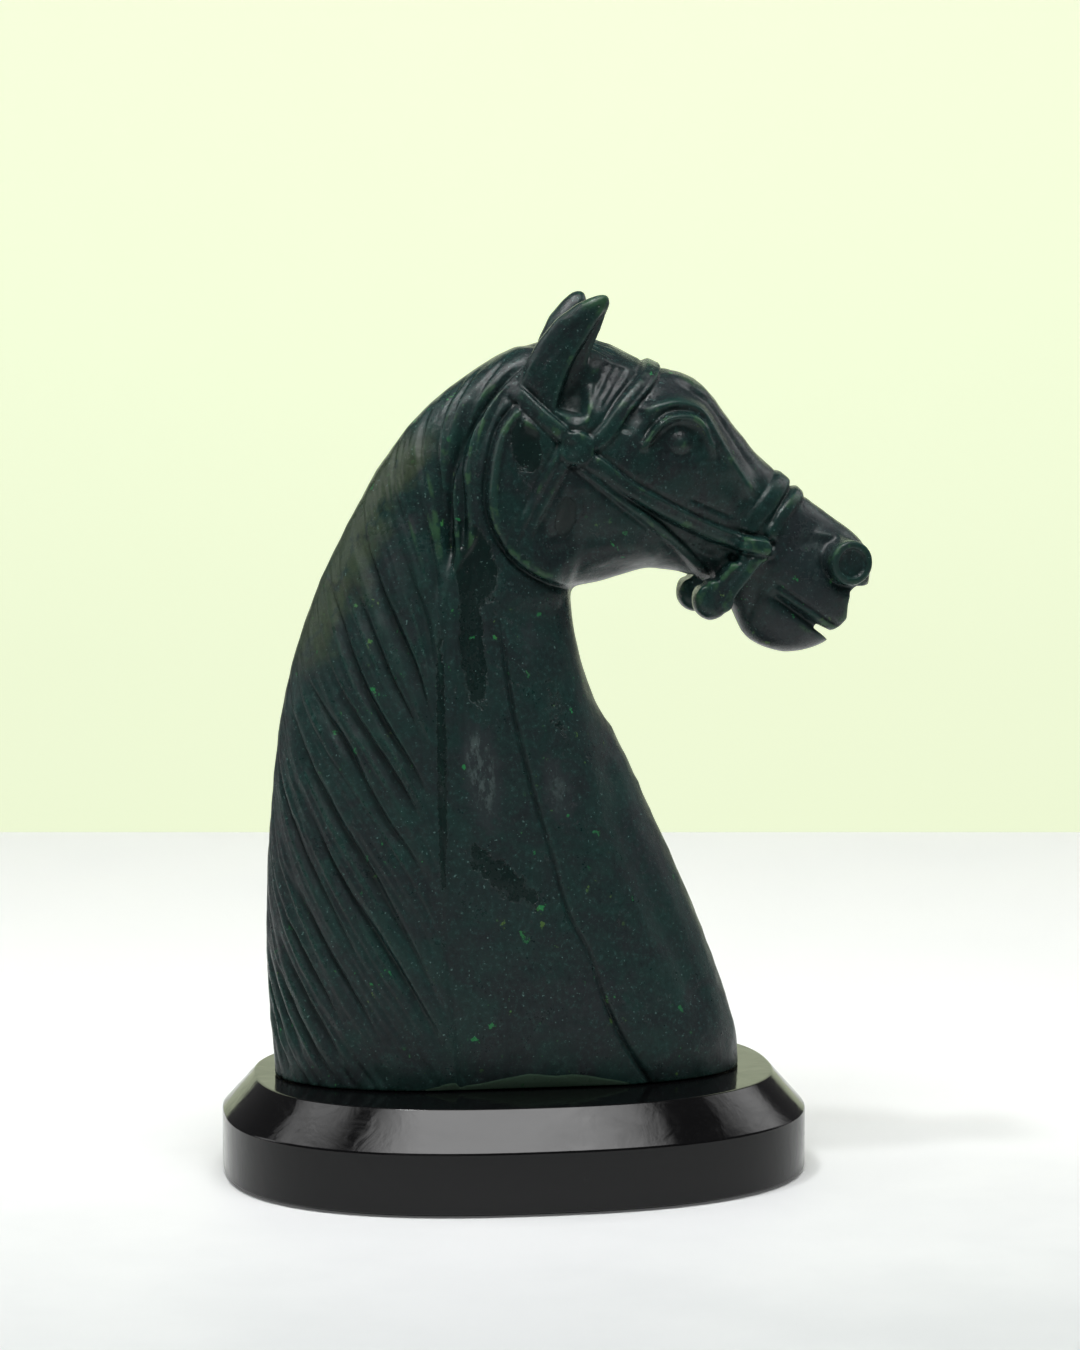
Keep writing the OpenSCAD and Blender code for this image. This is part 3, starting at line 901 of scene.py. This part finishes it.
def facet_painted_light(n):
    """Share of painted light: a paler green on the slim bevel at the foot, for the light that the bevel
    catches.
    """
    x, y, z = n.axes()
    plane = n.plus(y, n.times(x, FACET_TURN))
    plane = n.plus(plane, n.times(z, FACET_SLOPE))
    plane = n.plus(plane, (facet_y - FACET_DEPTH - FACET_SLOPE * FOOT) * MM)
    on_facet = n.ramp(n.maths("ABSOLUTE", plane), 0.10 * MM, 0.22 * MM, 1, 0)
    return n.times(on_facet, 0.85)


def with_flecks(n, color):
    """Bright green flecks in drifts, and fine pale grains everywhere."""
    drift = n.ramp(n.noise(20, 2), 0.46, 0.58)
    fleck = n.times(n.ramp(n.noise(2.8, 3, 0.6), 0.655, 0.70), drift)
    fleck_color = n.mix(n.ramp(n.noise(9, 1), 0.45, 0.60), (0.022, 0.205, 0.060), (0.075, 0.150, 0.035))
    color = n.mix(n.times(fleck, 0.9), color, fleck_color)
    grain = n.ramp(n.noise(0.65, 1, 0.5), 0.70, 0.77)
    grain = n.times(grain, n.ramp(n.noise(5, 3), 0.40, 0.60, 0.2, 1))
    return n.mix(n.times(grain, 0.75), color, (0.12, 0.22, 0.20))


def jade_roughness(n, finish_and_sheen, hollow, polished, head):
    """Glossier on the head, on edges and in the polished hollows, and duller where the stone is rubbed."""
    rough = n.ramp(n.noise(6, 4, 0.65), 0.3, 0.7, 0.25, 0.40)
    rough = n.minus(rough, n.times(head, 0.17))
    rough = n.plus(rough, n.ramp(n.noise(0.9, 3), 0.3, 0.75, 0.0, 0.08))
    rough = n.plus(rough, n.ramp(finish_and_sheen, 0.0, 0.9, 0, 0.12))
    rough = n.minus(rough, n.times(polished, 0.10))
    return n.plus(rough, n.ramp(hollow, -0.5, -0.1, -0.10, 0))


def jade_bumps(n, rubbed, polished):
    """Fine tooth, small pits, slow waves, and steps at the rubbed and polished patches."""
    pits = n.ramp(n.noise(1.1, 4, 0.65), 0.60, 0.70, 1, 0)
    pits = n.maths("MAXIMUM", pits, n.ramp(n.noise(8, 2), 0.52, 0.62, 1, 0))
    normal = n.bump(n.noise(0.6, 5, 0.8), 0.08)
    normal = n.bump(pits, 0.14, normal)
    normal = n.bump(n.noise(3.2, 3, 0.6, stretch=(1, 1, 0.5)), 0.16, normal)
    normal = n.bump(rubbed, 0.10, normal)
    return n.bump(polished, -0.12, normal)


def jade():
    """Very dark green stone: cloudy, with bright green flecks, fine pale grains and an olive crest; with
    painted shade in the hollows, painted highlights on the edges and the foot facet, and painted sheen on
    the pale parts.
    """
    n = Nodes("jade")
    cloud = n.noise(16, 5, 0.62, warp=1.2)
    fine = n.noise(1.3, 5, 0.8, warp=0.3)
    hollow = n.attribute("hollow")
    finish_and_sheen = n.plus(n.attribute("finish_and_sheen"), n.ramp(n.noise(2.2, 4, 0.7), 0.25, 0.75, -0.22, 0.22))
    polished = n.ramp(finish_and_sheen, -0.52, -0.34, 1, 0)
    scratches = n.ramp(n.noise(1.6, 4, 0.7, stretch=(1, 1, 0.45)), 0.44, 0.60)
    rubbed = n.times(n.ramp(finish_and_sheen, 0.45, 1.1, 0, 0.75), scratches)
    color = n.mix(n.ramp(cloud, 0.34, 0.66), (0.0115, 0.0185, 0.0202), (0.0085, 0.0300, 0.0265))
    color = n.mix(n.ramp(fine, 0.50, 0.72, 0, 0.85), color, (0.025, 0.070, 0.062))
    color = n.mix(n.ramp(fine, 0.30, 0.46, 0.75, 0), color, (0.0028, 0.0080, 0.0082))
    color = n.mix(n.times(polished, 0.8), color, (0.0022, 0.0110, 0.0095))
    # painted sheen, partly the paler rough stone: a grey tint where the finish map is above 0, meant for the
    # muzzle, nose and brow
    color = n.mix(n.ramp(finish_and_sheen, 0.05, 0.45, 0, 0.60), color, (0.021, 0.026, 0.030))
    color = n.mix(rubbed, color, (0.066, 0.094, 0.090))
    color = n.mix(crest_olive(n, fine), color, (0.046, 0.066, 0.032))

    # yellow-green streaks here and there on the raised edges of the head
    x, _, z = n.axes()
    head = n.ramp(n.plus(z, n.times(x, 0.5)), 0.138, 0.150)
    edges = n.times(n.ramp(hollow, -0.42, -0.15, 1, 0), n.ramp(n.noise(6, 3, 0.6), 0.52, 0.62))
    color = n.mix(n.times(edges, n.times(head, 0.6)), color, (0.050, 0.125, 0.045))

    # painted light: a paler green on the slim bevel at the foot
    color = n.mix(facet_painted_light(n), color, (0.140, 0.250, 0.165))
    color = with_flecks(n, color)
    # painted shade: darker green in the hollows and grooves
    color = n.mix(n.ramp(hollow, 0.08, 0.6, 0, 0.45), color, (0.004, 0.012, 0.011))
    # painted highlight: lighter green on the raised edges
    color = n.mix(n.ramp(hollow, -0.5, -0.12, 0.3, 0), color, (0.022, 0.070, 0.052))
    rough = jade_roughness(n, finish_and_sheen, hollow, polished, head)
    n.set(Base_Color=color, Roughness=rough, Normal=jade_bumps(n, rubbed, polished), IOR=1.36)
    return n.material


def black_stone():
    """Polished black stone, with faint grey grain, wipe marks and dust."""
    n = Nodes("black_stone")
    grain = n.noise(0.7, 4, 0.7)
    color = n.mix(n.ramp(grain, 0.55, 0.8), (0.0022, 0.0022, 0.0025), (0.009, 0.009, 0.0095))
    dust = n.ramp(n.noise(0.35, 2), 0.72, 0.8)
    color = n.mix(n.times(dust, 0.25), color, (0.09, 0.09, 0.09))
    smear = n.noise(14, 4, 0.65, stretch=(0.7, 1, 2.2), warp=1.2)
    rough = n.ramp(smear, 0.35, 0.7, 0.08, 0.18)
    rough = n.plus(rough, n.times(dust, 0.2))
    normal = n.bump(n.noise(9, 3, 0.55, warp=0.8), 0.10)
    normal = n.bump(grain, 0.0015, normal)
    n.set(Base_Color=color, Roughness=rough, Normal=normal, IOR=1.38)
    return n.material


def brushed_steel():
    n = Nodes("pin_steel")
    brush = n.noise(0.25, 4, 0.6, stretch=(1, 1, 0.05))
    color = n.mix(brush, (0.42, 0.42, 0.43), (0.62, 0.62, 0.63))
    rough = n.ramp(brush, 0.3, 0.7, 0.28, 0.45)
    n.set(Base_Color=color, Metallic=1.0, Roughness=rough, Normal=n.bump(brush, 0.01))
    return n.material


def adhesive():
    n = Nodes("adhesive")
    cloud = n.noise(3, 3)
    color = n.mix(cloud, (0.10, 0.085, 0.05), (0.16, 0.14, 0.09))
    rough = n.ramp(cloud, 0.3, 0.7, 0.35, 0.55)
    n.set(Base_Color=color, Roughness=rough, Normal=n.bump(n.noise(0.8), 0.03))
    return n.material


def felt():
    n = Nodes("felt")
    fibre = n.noise(0.4, 5, 0.7, warp=2.0)
    color = n.mix(fibre, (0.006, 0.006, 0.007), (0.022, 0.023, 0.024))
    n.set(Base_Color=color, Roughness=n.ramp(fibre, 0.3, 0.7, 0.85, 1.0), Normal=n.bump(fibre, 0.12))
    n.set(Sheen_Weight=0.3, Sheen_Roughness=0.5)
    return n.material


jade_look, stone_look, steel_look = jade(), black_stone(), brushed_steel()
glue_look, felt_look = adhesive(), felt()
for piece, look in ((bust, jade_look), (block, stone_look)):
    piece.data.materials.clear()
    piece.data.materials.append(look)
for node, look in (("horse_bust", jade_look), ("plinth", stone_look), ("front_pin", steel_look),
                   ("rear_pin", steel_look), ("adhesive_bed", glue_look), ("felt_pad", felt_look)):
    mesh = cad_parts[node].data
    mesh.materials.clear()
    mesh.materials.append(look)

# --------------------------------------------------------------------------------------------------
# Stage and lights
# --------------------------------------------------------------------------------------------------

# places of the stage in metres, from the object's axis along the view and to the sides of it
FLOOR_IN_FRONT, FLOOR_BEHIND, FLOOR_ASIDE = 0.45, 0.536, 0.8
BACKDROP_BEHIND, BACKDROP_ASIDE = 1.15, 0.62
BACKDROP_LOW, BACKDROP_HIGH = -0.16, 1.0
turn = math.radians(VIEW_AZIMUTH)
forward = Vector((-math.sin(turn), math.cos(turn), 0))
aside = Vector((math.cos(turn), math.sin(turn), 0))


def sheet(name, corners):
    mesh = bpy.data.meshes.new(name)
    mesh.from_pydata([tuple(c) for c in corners], [], [(0, 1, 2, 3)])
    piece = add_object(name, mesh)
    return piece


def paper(name, color, shaded_front_color, rough, glow):
    """Seamless paper with painted shade: a little darker in front than behind."""
    n = Nodes(name)
    cloud = n.noise(60, 4)
    # painted shade: the paper darkens towards the front
    front = n.ramp(n.axes()[1], -0.28, 0.12, 1, 0)
    tone = n.mix(n.plus(front, n.ramp(cloud, 0.3, 0.7, -0.06, 0.06)), color, shaded_front_color)
    n.set(Base_Color=tone, Roughness=n.ramp(cloud, 0.3, 0.7, rough, rough + 0.1))
    n.set(Normal=n.bump(n.noise(1.5, 3), 0.02))
    n.set(Emission_Color=tone, Emission_Strength=glow)
    return n.material


near, far = forward * -FLOOR_IN_FRONT, forward * FLOOR_BEHIND
left, right = aside * -FLOOR_ASIDE, aside * FLOOR_ASIDE
floor = sheet("floor", (near + left, near + right, far + right, far + left))
# the darker front colour of the floor is painted shade
floor.data.materials.append(paper("floor", (0.94, 0.95, 0.95), (0.57, 0.595, 0.595), 0.6, 0.10))
wall = forward * BACKDROP_BEHIND
low, high = Vector((0, 0, BACKDROP_LOW)), Vector((0, 0, BACKDROP_HIGH))
left, right = wall - aside * BACKDROP_ASIDE, wall + aside * BACKDROP_ASIDE
backdrop = sheet("backdrop", (left + low, right + low, right + high, left + high))
backdrop.data.materials.append(paper("backdrop", (0.60, 0.66, 0.465), (0.59, 0.65, 0.455), 0.9, 1.04))


def soft_light(name, place, aim, size, power, along=(1, 0, 0)):
    """An elliptical area light. along is the direction of its long axis."""
    data = bpy.data.lights.new(name, "AREA")
    data.shape = "ELLIPSE"
    data.size, data.size_y = size
    data.energy = power
    light = add_object(name, data)
    light.location = place
    away = (Vector(place) - Vector(aim)).normalized()
    long_axis = (Vector(along) - away * away.dot(Vector(along))).normalized()
    light.rotation_euler = Matrix((long_axis, away.cross(long_axis), away)).transposed().to_euler()


# each group is a stack of ever smaller lights, so that the edges of its reflection fade
middle = (0, 0, 0.12)
for n, share in enumerate((1.0, 0.94, 0.88, 0.8, 0.7, 0.58, 0.44)):
    width, depth = 1.28 * share, 0.56 * (0.4 + 0.6 * share)
    soft_light(f"overhead_{n}", (0.01, -0.38, 1.12 - 0.006 * n), (0, -0.12, 0), (width, depth),
               (1.75 + 0.42 * n) * width * depth)
for n, share in enumerate((1.0, 0.85, 0.7, 0.5)):
    soft_light(f"high_left_{n}", (-0.64 + 0.01 * n, 0.14, 0.90), middle, (0.64 * share, 0.4 * share),
               0.52 * share ** 2, (-0.22, 0.56, -0.22))
    soft_light(f"high_right_{n}", (0.82 - 0.01 * n, 0.25, 0.72), middle, (0.68 * share, 0.4 * share),
               0.38 * share ** 2, (0.12, 0.59, -0.36))
for n, share in enumerate((1.0, 0.7, 0.4)):
    width, depth = 0.5 * share, 0.9 * share
    size, upright = (depth, width), (0, 0, 1)
    soft_light(f"left_{n}", (-1.0 + 0.01 * n, 0.30, 0.50), middle, size, 1.7 * width * depth, upright)
    soft_light(f"right_{n}", (1.0 - 0.01 * n, 0.35, 0.50), middle, size, 0.8 * width * depth, upright)
soft_light("spark", (-0.25, -0.14, 1.16), middle, (0.13, 0.10), 3.0)
soft_light("camera_side", (-0.5, -1.5, 0.9), middle, (0.8, 0.6), 0.6)

world = bpy.data.worlds.new("studio")
bpy.context.scene.world = world
world.use_nodes = True
air = world.node_tree.nodes["Background"]
air.inputs["Color"].default_value = (1.0, 0.985, 1.0, 1)
air.inputs["Strength"].default_value = 0.12
bpy.context.scene.view_settings.view_transform = "Standard"
